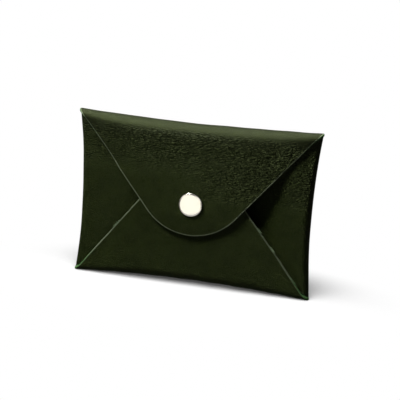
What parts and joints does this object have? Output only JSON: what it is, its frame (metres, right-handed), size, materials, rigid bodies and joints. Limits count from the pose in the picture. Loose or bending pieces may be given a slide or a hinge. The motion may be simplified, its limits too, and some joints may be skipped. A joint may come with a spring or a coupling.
{
  "type": "envelope card holder",
  "caption": "Slim leather card holder folded like an envelope from one blank, with a round-tipped top flap closed by a press snap.",
  "frame": {"origin": "centre of the footprint, on the surface that the bottom fold stands on", "axes": "+X to the right when the front is seen, +Y out of the back panel, +Z from the bottom fold to the top fold; the front faces -Y"},
  "size_m": [0.102, 0.0146, 0.07],
  "materials": {
    "leather": "semi-gloss pebbled grain, raw cut edges",
    "nickel": "polished nickel plate"
  },
  "bodies": {
    "pouch": {"back_panel": "leather", "left_flap": "leather", "right_flap": "leather", "bottom_flap": "leather", "snap_stud": "nickel", "stud_post": "nickel"},
    "fold_rear": {"top_fold_rear": "leather"},
    "fold_crown": {"top_fold_crown": "leather"},
    "fold_front": {"top_fold_front": "leather"},
    "flap": {"top_flap": "leather", "snap_cap": "nickel", "snap_socket": "nickel", "socket_spring": "nickel"}
  },
  "joints": [
    {"name": "flap_hinge", "type": "hinge", "parent": "pouch", "child": "fold_rear", "pos_m": [0, 0.00643, 0.06675], "axis": [-1, 0, 0], "range_deg": [0, 50]},
    {"name": "fold_crown_hinge", "type": "hinge", "parent": "fold_rear", "child": "fold_crown", "pos_m": [0, 0.00302, 0.06961], "axis": [-1, 0, 0], "range_deg": [0, 40]},
    {"name": "fold_front_hinge", "type": "hinge", "parent": "fold_crown", "child": "fold_front", "pos_m": [0, -0.00142, 0.06961], "axis": [-1, 0, 0], "range_deg": [0, 40]},
    {"name": "flap_edge_hinge", "type": "hinge", "parent": "fold_front", "child": "flap", "pos_m": [0, -0.00483, 0.06675], "axis": [-1, 0, 0], "range_deg": [0, 50]}
  ],
  "couplings": [
    {"joint": "fold_crown_hinge", "follows": "flap_hinge", "ratio": 0.8},
    {"joint": "fold_front_hinge", "follows": "flap_hinge", "ratio": 0.8},
    {"joint": "flap_edge_hinge", "follows": "flap_hinge", "ratio": 1}
  ]
}
